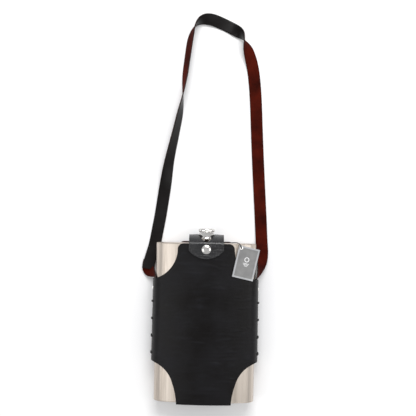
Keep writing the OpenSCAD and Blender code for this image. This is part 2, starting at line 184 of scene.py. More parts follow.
# the shader's colour from a value, by a ramp
def colourBy(tree, bsdf, value, stops):
    tree.links.new(ramp(tree, value, stops), bsdf.inputs["Base Color"])


# the shader's roughness from a value: span of the value, then the two roughnesses
def roughBy(tree, bsdf, value, span, roughness):
    spread = addNode(tree, "MapRange", None,
                     {"Value": value, "From Min": span[0], "From Max": span[1],
                      "To Min": roughness[0], "To Max": roughness[1]})
    tree.links.new(spread.outputs["Result"], bsdf.inputs["Roughness"])


# the shader's bump from a height, height in millimetres
def bumpBy(tree, bsdf, value, strength, height):
    bump = addNode(tree, "Bump", None, {"Height": value, "Strength": strength, "Distance": height * mm})
    tree.links.new(bump.outputs["Normal"], bsdf.inputs["Normal"])


def clearSelection():
    if bpy.context.object and bpy.context.object.mode != "OBJECT":
        bpy.ops.object.mode_set(mode="OBJECT")
    bpy.ops.object.select_all(action="DESELECT")


# makes obj the only selected and the active object
def takeUp(obj):
    clearSelection()
    obj.select_set(True)
    bpy.context.view_layer.objects.active = obj


def named(name):
    obj = bpy.context.object
    obj.name = name
    obj.data.name = name
    return obj


def applyModifier(obj, kind, **settings):
    takeUp(obj)
    modifier = obj.modifiers.new(kind.title(), kind)
    for key, value in settings.items():
        setattr(modifier, key, value)
    bpy.ops.object.modifier_apply(modifier=modifier.name)


# puts the place into the mesh, so that the object sits at the origin
def settle(obj):
    takeUp(obj)
    bpy.ops.object.transform_apply(location=True, rotation=True, scale=True)


def smooth(obj, angle=35):
    takeUp(obj)
    bpy.ops.object.shade_smooth_by_angle(angle=radians(angle))


# turns every face of a piece over
def flipFaces(piece):
    takeUp(piece)
    bpy.ops.object.mode_set(mode="EDIT")
    bpy.ops.mesh.select_all(action="SELECT")
    bpy.ops.mesh.flip_normals()
    bpy.ops.object.mode_set(mode="OBJECT")


# gives an open leather surface its grain, flesh and edge materials, in the order of its faces
def coverLeather(piece, outer, inner):
    for material in (outer, inner, edge):
        piece.data.materials.append(material)


# thickens an open leather surface: outer face, inner face and cut rim take the three materials
def thicken(piece, thickness):
    applyModifier(piece, "SOLIDIFY", thickness=thickness * mm, offset=0, use_rim=True,
                  material_offset=1, material_offset_rim=2, use_even_offset=False)


# rounds the edges sharper than angle by width
def easeEdges(piece, width, angle):
    applyModifier(piece, "BEVEL", width=width * mm, segments=2, limit_method="ANGLE",
                  angle_limit=radians(angle), use_clamp_overlap=True)


# joins finished parts into one piece
def joinParts(parts, name):
    clearSelection()
    for part in parts:
        part.select_set(True)
    bpy.context.view_layer.objects.active = parts[0]
    bpy.ops.object.join()
    return named(name)


# cuts the cutter out of a piece and removes it
def cutAway(piece, cutter):
    applyModifier(piece, "BOOLEAN", object=cutter, operation="DIFFERENCE", solver="EXACT")
    bpy.data.objects.remove(cutter)


# gives a finished piece its materials and its body, and hides the CAD parts it replaces
def finishPiece(obj, body, materials=(), replaces=()):
    for material in materials:
        obj.data.materials.append(material)
    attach(obj, body)
    if replaces:
        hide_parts(*replaces)
    return obj


# a grid primitive of columns by rows whose points are laid out by place(u, v), both from 0 to 1
def gridPiece(name, columns, rows, place):
    clearSelection()
    bpy.ops.mesh.primitive_grid_add(x_subdivisions=columns, y_subdivisions=rows, size=2)
    obj = named(name)
    for vert in obj.data.vertices:
        u, v = (vert.co.x + 1) / 2, (vert.co.y + 1) / 2
        vert.co = Vector(place(u, v)) * mm
    return obj


# a closed turned shape from points (radius, height) along an axis through centre
def lathe(name, profile, centre, axis, steps=64):
    clearSelection()
    bpy.ops.mesh.primitive_plane_add(size=1)
    obj = named(name)
    shape = bmesh.new()
    verts = [shape.verts.new((r * mm, 0, h * mm)) for r, h in profile]
    for a, b in zip(verts, verts[1:]):
        shape.edges.new((a, b))
    shape.to_mesh(obj.data)
    shape.free()
    bpy.ops.object.mode_set(mode="EDIT")
    bpy.ops.mesh.select_all(action="SELECT")
    bpy.ops.mesh.spin(steps=steps, angle=2 * pi, center=(0, 0, 0), axis=(0, 0, 1))
    bpy.ops.mesh.select_all(action="SELECT")
    bpy.ops.mesh.remove_doubles(threshold=2e-6)
    bpy.ops.mesh.normals_make_consistent(inside=False)
    bpy.ops.object.mode_set(mode="OBJECT")
    turn = Vector((0, 0, 1)).rotation_difference(Vector(axis)).to_matrix().to_4x4()
    obj.data.transform(Matrix.Translation(Vector(centre) * mm) @ turn)
    smooth(obj)
    return obj


# a copy of a CAD node's mesh with its loose triangles merged and its edges eased
def softCopy(node, name, width, angle=40):
    clearSelection()
    bpy.ops.mesh.primitive_plane_add(size=1)
    obj = named(name)
    obj.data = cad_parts[node].data.copy()
    obj.data.name = name
    obj.data.materials.clear()
    bpy.ops.object.mode_set(mode="EDIT")
    bpy.ops.mesh.select_all(action="SELECT")
    bpy.ops.mesh.remove_doubles(threshold=5e-6)
    bpy.ops.mesh.dissolve_limited(angle_limit=radians(1))
    bpy.ops.object.mode_set(mode="OBJECT")
    easeEdges(obj, width, angle)
    smooth(obj)
    return obj


# smooth points through the given ones, any number of values each
def catmull(points, steps):
    out = []
    last = len(points) - 1
    for i in range(last):
        a, b = points[max(i - 1, 0)], points[i]
        c, d = points[i + 1], points[min(i + 2, last)]
        for k in range(steps):
            t = k / steps
            out.append([0.5 * (2 * q + (r - p) * t + (2 * p - 5 * q + 4 * r - s) * t * t
                               + (3 * q - p - 3 * r + s) * t ** 3)
                        for p, q, r, s in zip(a, b, c, d)])
    out.append(list(points[last]))
    return out


# a swept tube: path in millimetres, ringShape(i) gives the section's points as offsets in space
def tube(name, path, ringShape, closedEnds=True):
    rings = [ringShape(i) for i in range(len(path))]
    around = len(rings[0])
    clearSelection()
    bpy.ops.mesh.primitive_cylinder_add(vertices=around, radius=1, depth=2, end_fill_type="NGON")
    obj = named(name)
    shape = bmesh.new()
    verts = [[shape.verts.new((Vector(path[i]) + o) * mm) for o in ring]
             for i, ring in enumerate(rings)]
    for low, high in zip(verts, verts[1:]):
        for k in range(around):
            n = (k + 1) % around
            shape.faces.new((low[k], low[n], high[n], high[k]))
    if closedEnds:
        shape.faces.new(verts[0][::-1])
        shape.faces.new(verts[-1])
    else:
        for k in range(around):
            n = (k + 1) % around
            shape.faces.new((verts[-1][k], verts[-1][n], verts[0][n], verts[0][k]))
    bmesh.ops.recalc_face_normals(shape, faces=shape.faces)
    shape.to_mesh(obj.data)
    shape.free()
    smooth(obj)
    return obj


# section offsets for a round or flattened cord along path
def roundRing(path, radius, sides, flat=1.0, closed=False):
    last = len(path) - 1

    def ring(i):
        ahead = path[(i + 1) % (last + 1)] if closed else path[min(i + 1, last)]
        behind = path[i - 1] if closed else path[max(i - 1, 0)]
        along = (Vector(ahead) - Vector(behind)).normalized()
        up = Vector((0, 0, 1)) if abs(along.z) < 0.9 else Vector((0, 1, 0))
        side = along.cross(up).normalized()
        over = side.cross(along)
        return [(side * cos(2 * pi * k / sides) + over * flat * sin(2 * pi * k / sides)) * radius
                for k in range(sides)]
    return ring


# camera: straight above, turned with the canteen's slight tilt

camera = {"height": 1600, "x": 1.3, "y": 172.8, "roll": 1.13, "across": 665.6, "plane": 30}
bpy.ops.object.camera_add(location=(camera["x"] * mm, camera["y"] * mm, camera["height"] * mm),
                          rotation=(0, 0, radians(camera["roll"])))
cam = bpy.context.object
cam.data.lens = cam.data.sensor_width * (camera["height"] - camera["plane"]) / camera["across"]
bpy.context.scene.camera = cam
print("camera ready")


# leather, flesh side and edge

leather = {      # wrinkle and pore spacing in millimetres
    # the light ends of hide and flap are bluish: painted sheen over the grain's real dark tone
    "hide": {"wrinkle": 2.6, "depth": 0.9, "rough": 0.38, "shine": 0.18,
             "dark": "070505", "light": "16161a"},
    "flap": {"wrinkle": 3.4, "depth": 1.0, "rough": 0.24, "shine": 0.6,
             "dark": "0b0a0c", "light": "1c1d21"},
    "strap": {"wrinkle": 1.3, "depth": 0.3, "rough": 0.36, "shine": 0.16,
              "dark": "0a0706", "light": "161314"},
    "pore": 0.9,
    "fleshDark": "1a0301", "fleshLight": "481005",      # red-brown dye of the flesh side
    "edge": "2a100a",
}


# Full-grain cowhide, dyed, waxed and plated: soft sheen over fine creases that run across the hide; the
# bluish light end of the hide and flap colour is painted sheen
def grainLeather(name, kind):
    material, tree, bsdf = newMaterial(name, {"Specular IOR Level": kind["shine"], "IOR": 1.5})
    place = addNode(tree, "TexCoord").outputs["Object"]
    stretch = addNode(tree, "Mapping", None, {"Vector": place, "Scale": (0.22, 1, 0.5)})
    crease = addNode(tree, "TexNoise", {"noise_type": "RIDGED_MULTIFRACTAL"},
                     {"Vector": stretch.outputs["Vector"], "Scale": 0.42 / (kind["wrinkle"] * mm),
                      "Detail": 3, "Roughness": 0.55, "Distortion": 0.5})
    pores = addNode(tree, "TexVoronoi", {"feature": "DISTANCE_TO_EDGE"},
                    {"Vector": place, "Scale": 1 / (leather["pore"] * mm), "Randomness": 1})
    patch = addNode(tree, "TexNoise", None, {"Vector": place, "Scale": 22, "Detail": 3})
    mixed = addNode(tree, "Math", {"operation": "MULTIPLY_ADD"},
                    {0: pores.outputs["Distance"], 1: 0.35, 2: crease.outputs["Fac"]})
    tone = addNode(tree, "Math", {"operation": "MULTIPLY_ADD"},
                   {0: crease.outputs["Fac"], 1: 0.5, 2: patch.outputs["Fac"]})
    # grain tone from creases and patches; for hide and flap its bluish light end is painted sheen
    colourBy(tree, bsdf, tone.outputs[0], [(0.35, kind["dark"]), (1.0, kind["light"])])
    roughBy(tree, bsdf, patch.outputs["Fac"], (0.3, 0.7), (kind["rough"] - 0.07, kind["rough"] + 0.07))
    bumpBy(tree, bsdf, mixed.outputs[0], kind["depth"], 0.16 * kind["wrinkle"])
    return material


# Split flesh side, dyed red-brown: matt nap with streaks and a soft bloom at grazing light
def fleshLeather():
    material, tree, bsdf = newMaterial("FleshSideSuede", {
        "Roughness": 0.92, "Specular IOR Level": 0.08, "Sheen Weight": 0.05, "Sheen Roughness": 0.5})
    bsdf.inputs["Sheen Tint"].default_value = linear("a0553f")
    place = addNode(tree, "TexCoord").outputs["Object"]
    fibres = addNode(tree, "Mapping", None, {"Vector": place, "Scale": (1, 0.3, 1)})
    nap = addNode(tree, "TexNoise", None,       # fibre tufts about a millimetre
                  {"Vector": fibres.outputs["Vector"], "Scale": 900, "Detail": 4, "Roughness": 0.7})
    blotch = addNode(tree, "TexNoise", None, {"Vector": place, "Scale": 35, "Detail": 4})
    both = addNode(tree, "Math", {"operation": "MULTIPLY_ADD"},
                   {0: nap.outputs["Fac"], 1: 0.6, 2: blotch.outputs["Fac"]})
    colourBy(tree, bsdf, both.outputs[0], [(0.5, leather["fleshDark"]), (1.15, leather["fleshLight"])])
    bumpBy(tree, bsdf, nap.outputs["Fac"], 0.5, 0.3)
    return material


# Cut and burnished edge: darker brown, slightly polished, faint layers
def edgeLeather():
    material, tree, bsdf = newMaterial("BurnishedEdge", {"Roughness": 0.6, "Specular IOR Level": 0.3})
    place = addNode(tree, "TexCoord").outputs["Object"]
    layers = addNode(tree, "TexNoise", None, {"Vector": place, "Scale": 700, "Detail": 3})
    colourBy(tree, bsdf, layers.outputs["Fac"], [(0.3, "160806"), (0.75, leather["edge"])])
    bumpBy(tree, bsdf, layers.outputs["Fac"], 0.4, 0.2)
    return material


# metals

# Stainless 18/8, belt brushed along its height: satin, with fine lengthwise scratches, and broad lengthwise
# bands of painted reflection in its colour
def brushedSteel():
    material, tree, bsdf = newMaterial("BrushedStainless", {"Metallic": 1.0, "Anisotropic": 0.5})
    place = addNode(tree, "TexCoord").outputs["Object"]
    lines = addNode(tree, "Mapping", None, {"Vector": place, "Scale": (1, 0.012, 1)})
    fine = addNode(tree, "TexNoise", None, {"Vector": lines.outputs["Vector"], "Scale": 1800, "Detail": 4,
                                            "Roughness": 0.75})      # scratches half a millimetre apart
    # broad lengthwise bands: painted reflection, lighter and darker stripes in the colour; they also vary
    # the roughness
    broad = addNode(tree, "TexNoise", None, {"Vector": lines.outputs["Vector"], "Scale": 130, "Detail": 3})
    both = addNode(tree, "Math", {"operation": "MULTIPLY_ADD"},
                   {0: broad.outputs["Fac"], 1: 0.9, 2: fine.outputs["Fac"]})
    colourBy(tree, bsdf, both.outputs[0], [(0.6, "a59a8e"), (1.3, "cfc5ba")])
    roughBy(tree, bsdf, both.outputs[0], (0.6, 1.3), (0.5, 0.34))
    bumpBy(tree, bsdf, fine.outputs["Fac"], 0.12, 0.1)
    return material


# Nickel-chrome plate, polished: near mirror with faint handling haze
def polishedChrome():
    material, tree, bsdf = newMaterial("PolishedChrome", {"Metallic": 1.0})
    place = addNode(tree, "TexCoord").outputs["Object"]
    haze = addNode(tree, "TexNoise", None, {"Vector": place, "Scale": 160, "Detail": 4})
    colourBy(tree, bsdf, haze.outputs["Fac"], [(0.3, "dcdad7"), (0.7, "eeece9")])
    roughBy(tree, bsdf, haze.outputs["Fac"], (0.3, 0.7), (0.05, 0.13))
    return material


# Food-grade silicone washer, moulded: soft, slightly translucent off-white
def paleRubber():
    material, tree, bsdf = newMaterial("MouldedSilicone", {"Roughness": 0.5, "Subsurface Weight": 0.15})
    place = addNode(tree, "TexCoord").outputs["Object"]
    cloud = addNode(tree, "TexNoise", None, {"Vector": place, "Scale": 220, "Detail": 2})
    colourBy(tree, bsdf, cloud.outputs["Fac"], [(0.3, "ddd6c8"), (0.7, "ebe6dc")])
    return material


# tag and cord finishes

# Coated board with a linen-pressed face: semi-matt, fine cross texture
def coatedCard(name, dark, light):
    material, tree, bsdf = newMaterial(name, {"Specular IOR Level": 0.35})
    place = addNode(tree, "TexCoord").outputs["Object"]
    threads = []
    for way in ("X", "Y"):      # linen threads near a millimetre apart
        wave = addNode(tree, "TexWave", {"bands_direction": way},
                       {"Vector": place, "Scale": 330, "Distortion": 1.5, "Detail": 2})
        threads.append(wave.outputs["Fac"])
    cross = addNode(tree, "Math", {"operation": "MAXIMUM"}, {0: threads[0], 1: threads[1]})
    scuff = addNode(tree, "TexNoise", None, {"Vector": place, "Scale": 90, "Detail": 5})
    colourBy(tree, bsdf, scuff.outputs["Fac"], [(0.3, dark), (0.72, light)])
    roughBy(tree, bsdf, scuff.outputs["Fac"], (0, 1), (0.48, 0.62))
    bumpBy(tree, bsdf, cross.outputs[0], 0.18, 0.1)
    return material


# Twisted waxed thread or thong: dark, with the slant of its strands
def waxedThread(name, dark, light, pitch):
    material, tree, bsdf = newMaterial(name, {"Specular IOR Level": 0.4})
    place = addNode(tree, "TexCoord").outputs["Object"]
    turned = addNode(tree, "Mapping", None, {"Vector": place, "Rotation": (0.4, 0.7, 0.7)})
    strands = addNode(tree, "TexWave", None,
                      {"Vector": turned.outputs["Vector"], "Scale": 0.32 / (pitch * mm),
                       "Distortion": 1, "Detail": 2})
    colourBy(tree, bsdf, strands.outputs["Fac"], [(0.2, dark), (0.9, light)])
    roughBy(tree, bsdf, strands.outputs["Fac"], (0, 1), (0.6, 0.42))
    bumpBy(tree, bsdf, strands.outputs["Fac"], 0.5, 0.15)
    return material


hideGrain = grainLeather("WaxedBlackHide", leather["hide"])
flapGrain = grainLeather("CreasedBlackHide", leather["flap"])
strapGrain = grainLeather("GlazedStrapLeather", leather["strap"])      # smoother, glazed on its grain side
flesh = fleshLeather()
edge = edgeLeather()
steel = brushedSteel()
chrome = polishedChrome()
rubber = paleRubber()
cardPanel = coatedCard("LinenBoardGrey", "767676", "868685")
cardBorder = coatedCard("LinenBoardPale", "a0a1a3", "b0b1b3")
foil, foilTree, foilShader = newMaterial("WhiteScreenInk", {"Roughness": 0.4})
foilPlace = addNode(foilTree, "TexCoord").outputs["Object"]
foilCloud = addNode(foilTree, "TexNoise", None, {"Vector": foilPlace, "Scale": 400, "Detail": 3})
colourBy(foilTree, foilShader, foilCloud.outputs["Fac"], [(0.2, "dedede"), (0.7, "f4f4f4")])
cordBlack = waxedThread("WaxedCord", "0c0c0c", "262525", 0.7)
thongBlack = waxedThread("LeatherThong", "0b0a0a", "1f1c1b", 2.2)
print("materials ready")


# shoulder strap: a flat cord that lies on the table

strap = {
    "width": 20.0, "thick": 2.2, "steps": 6,
    # x, y, lift off the table, roll of the grain side, as the CAD route has them
    "route": [
        [-94.6, 72, 3.3, 0], [-92, 84, 2.8, 0], [-88.6, 96, 2, 0], [-84.2, 112, 0.3, 0],
        [-80, 135, 0, 0], [-75.5, 161, 0, 0], [-69.5, 203, 0, 12], [-63, 248, 0, 42],
        [-54, 291, 0, 56], [-47, 326, 0, 66], [-43, 354, 0, 90], [-40, 386, 0, 114],
        [-36, 420, 0, 118], [-32, 448, 0, 116], [-25.5, 467, 1, 94], [-14, 477, 2, 52],
        [0, 479, 2, 18], [18, 473.5, 0, 4], [36, 465, 0, 4], [47, 457, 1, 40],
        [55, 446, 2, 94], [62, 429, 1, 148], [69, 405, 0, 176], [73, 380, 0, 180],
        [76, 345, 0, 180], [79.5, 280, 0, 180], [83.5, 215, 0, 180], [87, 163, 0, 180],
        [89.5, 122, 0, 178], [91, 102, 0, 168], [90.5, 86, 4, 144], [87.3, 73, 9.5, 118],
        [83.6, 64.5, 12.3, 102], [81.3, 59.3, 13, 90.5]],
    # the lug that comes out of the left seam, flesh side up, and takes the strap's end
    "lug": [[-81.3, 59.3, 13, 90.5], [-82.6, 62, 11.8, 106], [-85.8, 65, 8, 130],
            [-90, 68, 2.5, 160], [-93.6, 72, 0, 180], [-94, 79, 0, 180], [-92.6, 85.5, 0, 180]],
}


# a flat strap along route: grain faces one way, flesh the other, with rounded cut edges
def flatPiece(name, route, width, columns=8):
    points = catmull(route, strap["steps"])
    last = len(points) - 1
    centres, across, over = [], [], []
    for i, (x, y, lift, roll) in enumerate(points):
        ahead, behind = points[min(i + 1, last)], points[max(i - 1, 0)]
        along = Vector((ahead[0] - behind[0], ahead[1] - behind[1], 0)).normalized()
        right = Vector((along.y, -along.x, 0))
        r = radians(roll)
        height = 0.1 + lift + width / 2 * abs(sin(r)) + strap["thick"] / 2 * abs(cos(r))
        centres.append(Vector((x, y, height)))
        across.append(right * cos(r) - Vector((0, 0, sin(r))))
        over.append(Vector((0, 0, cos(r))) + right * sin(r))

    def place(u, v):
        i = round(v * last)
        edgeWave = 0.12 * noise.noise(centres[i] * 0.06)      # a knife-cut edge is never quite straight
        return centres[i] + across[i] * (u - 0.5) * (width - 0.6 + edgeWave) + over[i] * 0.001

    piece = gridPiece(name, columns, last, place)
    coverLeather(piece, strapGrain, flesh)
    thicken(piece, strap["thick"] - 0.3)
    easeEdges(piece, 0.45, 60)
    smooth(piece, 50)
    return piece, [tuple(c * mm) for c in centres]


shoulderStrap, strapPath = flatPiece("shoulderStrap", strap["route"], strap["width"])
strapLug, _ = flatPiece("strapLugLeft", strap["lug"], strap["width"])
finishPiece(strapLug, rootBody, (), ["strap_lug_left"])
finishPiece(shoulderStrap, rootBody, (), ["shoulder_strap"])


# tag cord: round the neck, over the shoulder's edge and into the eyelet

tagCord = {
    "radius": 0.6, "loopRadius": 9.3, "loopY": shoulderY + 3.1,
    "route": [[9.6, 119.6, 29.7], [15, 119, 30], [24, 118.4, 32.5], [33, 118.2, 37],
              [41, 118.4, 42], [46.5, 118.8, 46.5], [50, 118.2, 49.9], [52.8, 116.3, 52.9],
              [54.3, 114.3, 53.6], [55.1, 112.4, 53.3], [55.25, 111.2, 52.3],
              [55.15, 110.65, 51.2], [54.95, 110.56, 50.2]],
}
cordPoints = catmull(tagCord["route"], 6)
cordPiece = tube("tagCord", cordPoints, roundRing(cordPoints, tagCord["radius"], 10))
loopPoints = [[tagCord["loopRadius"] * cos(2 * pi * k / 64), tagCord["loopY"],
               neckZ + tagCord["loopRadius"] * sin(2 * pi * k / 64)] for k in range(64)]
loopPiece = tube("tagCordLoop", loopPoints, roundRing(loopPoints, tagCord["radius"], 10, closed=True),
                 closedEnds=False)
finishPiece(cordPiece, rootBody, [cordBlack], ["tag_cord"])
finishPiece(loopPiece, rootBody, [cordBlack])
print("tag cord ready")


# sleeve: one hide down the front, under the base and up the back

sleeve = {
    "topCut": (96.3, 108.3, 51.5),       # scooped waists: centre x, y and radius
    "lowCut": (95.6, -118.0, 47.6),
    "legCut": (156.7, -144.8, 114.0), "legFrom": -95.0,
    "topFlat": 35.8, "topCorner": 9.0, "backRise": 2.0,
    "seamGap": 0.35, "columns": 84, "sag": 0.8,
    "wave": 0.22, "flare": 0.6,          # handling waves, and how far the lower side edges stand off
}
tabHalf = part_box("tab_bridge")[1].x / mm


# half width of the cut hide, seen from the front, at a height y
def outlineX(y, rise):
    x = wideReach + mid
    cuts = [(sleeve["topCut"][0], sleeve["topCut"][1] + rise / 2, sleeve["topCut"][2] + rise / 2),
            sleeve["lowCut"]]
    if y < sleeve["legFrom"]:
        cuts.append(sleeve["legCut"])
    for cx, cy, r in cuts:
        if abs(y - cy) < r:
            x = min(x, cx - sqrt(r * r - (y - cy) ** 2))
    over = y - (shoulderY + rise - sleeve["topCorner"])
    if over > 0:
        x = min(x, sleeve["topFlat"] + sqrt(max(0, sleeve["topCorner"] ** 2 - over ** 2)))
    return x


# heights of the grid's rows, closer together where the outline turns
def sleeveRows(top):
    stops = [(top, 0.45), (107, 1.6), (62, 0.45), (55, 2.0), (-66, 0.45), (-76, 1.6), (-128, 1.0)]
    end = baseY - sleeve["sag"]
    rows = []
    for (y, step), (low, _) in zip(stops, stops[1:] + [(end, 0)]):
        count = max(1, round((y - low) / step))
        rows += [y + (low - y) * k / count for k in range(count)]
    return rows + [end]


def hideWave(x, y, z):
    return sleeve["wave"] * noise.noise(Vector((x * 0.022, y * 0.03, z * 0.03 + 4)))


def makeSleeve():
    rise = sleeve["backRise"]
    low = baseY - sleeve["sag"]
    bend = [radians(a) for a in (22.5, 45, 67.5, 90)]
    under = [k / 14 for k in range(1, 14)]
    table = ([("front", y) for y in sleeveRows(shoulderY)] + [("bendFront", a) for a in bend]
             + [("under", f) for f in under] + [("bendBack", a) for a in reversed(bend)]
             + [("back", y) for y in reversed(sleeveRows(shoulderY + rise))])
    last = len(table) - 1

    def place(u, v):
        kind, value = table[round(v * last)]
        share = 2 * u - 1
        y = value if kind in ("front", "back") else low
        half = outlineX(y, rise if kind == "back" else 0)
        if half >= wideReach + mid - 0.01:
            front, back = seamLen - sleeve["seamGap"], seamLen + sleeve["seamGap"]
        else:
            front, back = frontStation(half), backStation(half)
        # even columns along the hide; the back runs from the seam to the back's middle
        onBack = (roundLen - abs(share) * (roundLen - back)) * (1 if share >= 0 else -1)
        xf, zf, nxf, nzf = sectionPoint(share * front, mid)
        xb, zb, nxb, nzb = sectionPoint(onBack, mid)
        if kind in ("front", "back"):
            x, z, nx, nz = (xf, zf, nxf, nzf) if kind == "front" else (xb, zb, nxb, nzb)
            sideness = max(0, (abs(x) - 70) / 14)
            lower = max(0, min(1, (20 - y) / 90))
            off = max(hideWave(x, y, z) + sleeve["flare"] * sideness ** 2 * lower, -0.05)
            if kind == "back":
                off = min(off, 0.05) if z < 6 else off
                if abs(x) < tabHalf + 0.8:
                    y = min(y, shoulderY)
            return x + nx * off, y, z + nz * off
        fSteel, bSteel = zf - mid * nzf, zb - mid * nzb
        if kind == "bendFront":
            return xf, low - mid * sin(value), fSteel + mid * cos(value)
        if kind == "bendBack":
            return xb, low - mid * sin(value), bSteel - mid * cos(value)
        return xf + (xb - xf) * value, low - mid, fSteel + (bSteel - fSteel) * value

    piece = gridPiece("leatherSleeve", sleeve["columns"], last, place)
    coverLeather(piece, hideGrain, flesh)
    takeUp(piece)
    bpy.ops.object.mode_set(mode="EDIT")
    bpy.ops.mesh.select_all(action="SELECT")
    bpy.ops.mesh.remove_doubles(threshold=1e-6)
    bpy.ops.object.mode_set(mode="OBJECT")
    middle = min(piece.data.polygons, key=lambda p: (p.center - Vector((0, 0, frontZ * mm))).length)
    if middle.normal.z < 0:
        flipFaces(piece)
    thicken(piece, flask["hide"] - 0.06)
    return piece


# drills round holes: each is (centre, direction) in millimetres
def punchHoles(piece, holes, radius, depth):
    for centre, direction in holes:
        clearSelection()
        bpy.ops.mesh.primitive_cylinder_add(vertices=20, radius=radius * mm, depth=depth * mm)
        cutter = named("cutter")
        turn = Vector((0, 0, 1)).rotation_difference(Vector(direction)).to_matrix().to_4x4()
        cutter.data.transform(Matrix.Translation(Vector(centre) * mm) @ turn)
        cutAway(piece, cutter)


lacing = {"rows": (22, -5.5, -33, -59.5), "angle": 22, "halfWidth": 1.7, "halfThick": 0.85, "dip": 2.6}


# point on the sleeve's rounded side at an angle from level, off above the hide's inner face
def sidePlace(side, angle, y, off):
    r = wideR + off
    return Vector((side * (wideX + r * cos(radians(angle))), y, wideZ + r * sin(radians(angle))))


leatherSleeve = makeSleeve()
laceHoles = []
for side in (-1, 1):
    for y in lacing["rows"]:
        for a in (-lacing["angle"], lacing["angle"]):
            way = sidePlace(side, a, y, 1) - sidePlace(side, a, y, 0)
            laceHoles.append((sidePlace(side, a, y, mid + 0.5), way))
punchHoles(leatherSleeve, laceHoles, 1.9, 5.5)
easeEdges(leatherSleeve, 0.4, 62)
smooth(leatherSleeve, 45)
finishPiece(leatherSleeve, rootBody, (), ["sleeve_front", "sleeve_back", "sleeve_base"])
print("sleeve ready,", len(leatherSleeve.data.polygons), "faces")


# side lacing: a flat thong, over the seam and down through each pair of holes

def makeLace(side, name, node):
    parts = []
    for row, y in enumerate(lacing["rows"]):
        path = []
        high = flask["hide"] + lacing["halfThick"] + 0.15
        for k in range(25):
            a = lacing["angle"] * (2 * k / 24 - 1)
            t = abs(2 * k / 24 - 1)
            dip = lacing["dip"] * max(0, (t - 0.72) / 0.28) ** 2
            flare = sleeve["flare"] * max(0, min(1, (20 - y) / 90)) * 0.8
            along = y + 0.5 * sin(2.2 * a / lacing["angle"] + row)      # laced by hand, never quite level
            path.append(sidePlace(side, a, along, high + flare - dip))
        sides = 14

        def ring(i, path=path):
            along = (path[min(i + 1, 24)] - path[max(i - 1, 0)]).normalized()
            wide = Vector((0, 1, 0))
            thick = along.cross(wide).normalized()
            return [wide * lacing["halfWidth"] * cos(2 * pi * j / sides)
                    + thick * lacing["halfThick"] * sin(2 * pi * j / sides) for j in range(sides)]

        parts.append(tube(f"{name}Row{row}", path, ring))
    finishPiece(joinParts(parts, name), rootBody, [thongBlack], [node])


makeLace(-1, "laceLeft", "lace_left")
makeLace(1, "laceRight", "lace_right")
print("lacing ready")


# strap ends: skived thin, riveted between the steel and the sleeve

anchor = {"y": 44.0, "top": 58.9, "radius": 10.0, "thick": 1.6, "rivetAngle": 12.5}


def makeAnchor(side, name, node):
    low = anchor["y"] - anchor["radius"]
    columns, rows = 14, 18

    def place(u, v):
        share = 2 * u - 1
        y = low + (anchor["top"] - low) * v
        half = anchor["radius"]
        if y < anchor["y"]:
            half = sqrt(max(0.3, anchor["radius"] ** 2 - (anchor["y"] - y) ** 2))
        r = flask["sideR"] + 0.05 + anchor["thick"] / 2
        a = asin(share * half / r)
        return side * (flask["sideX"] + r * cos(a)), y, sideZ + r * sin(a)

    piece = gridPiece(name, columns, rows, place)
    coverLeather(piece, flesh, strapGrain)
    takeUp(piece)
    middle = piece.data.polygons[len(piece.data.polygons) // 2]
    if middle.normal.x * side < 0:
        flipFaces(piece)
    thicken(piece, anchor["thick"] - 0.1)
    easeEdges(piece, 0.4, 60)
    smooth(piece, 50)
    finishPiece(piece, rootBody, (), [node])


# capped rivets: a low dome with a rolled rim
def makeRivets(side, name, node):
    parts = []
    lift = flask["hide"] + 0.05
    for a in (-anchor["rivetAngle"], anchor["rivetAngle"]):
        way = sidePlace(side, a, anchor["y"], 1) - sidePlace(side, a, anchor["y"], 0)
        profile = [(0, 0.95), (1.1, 0.9), (2.0, 0.72), (2.5, 0.48), (2.8, 0.36), (3.0, 0.22), (3.0, 0.04),
                   (2.9, -0.05), (1.4, -0.05), (1.4, -4.5), (0, -4.5)]
        parts.append(lathe(f"{name}{len(parts)}", profile, sidePlace(side, a, anchor["y"], lift), way, 40))
    finishPiece(joinParts(parts, name), rootBody, [chrome], [node])


for side, word in ((-1, "Left"), (1, "Right")):
    makeAnchor(side, "strapAnchor" + word, "strap_anchor_" + word.lower())
    makeRivets(side, "strapRivets" + word, "strap_rivets_" + word.lower())
print("strap ends ready")


# closure tab: from the back, bowed over the shoulder, down on to the front

tab = {
    "width": 55.0, "thick": 2.2, "bridgeCy": 96.4, "bridgeCz": 31.25, "bridgeR": 34.1,
    "footZ": 5.3, "bendDrop": 1.6, "bendRun": 3.6,      # where the bow starts, and the bend on to the flap
    "lift": 0.3, "endY": shoulderY - 24.2, "endR": 34.7, "holeR": 14.3,
    "slotHalf": 7.6, "slotLift": 15.2, "slotGrow": 4.2, "snapHole": 5.4,
    "snapY": shoulderY - 9.1, "wrinkle": 0.3,
}
flapOff = flask["gap"] + flask["hide"] + tab["lift"] + tab["thick"] / 2


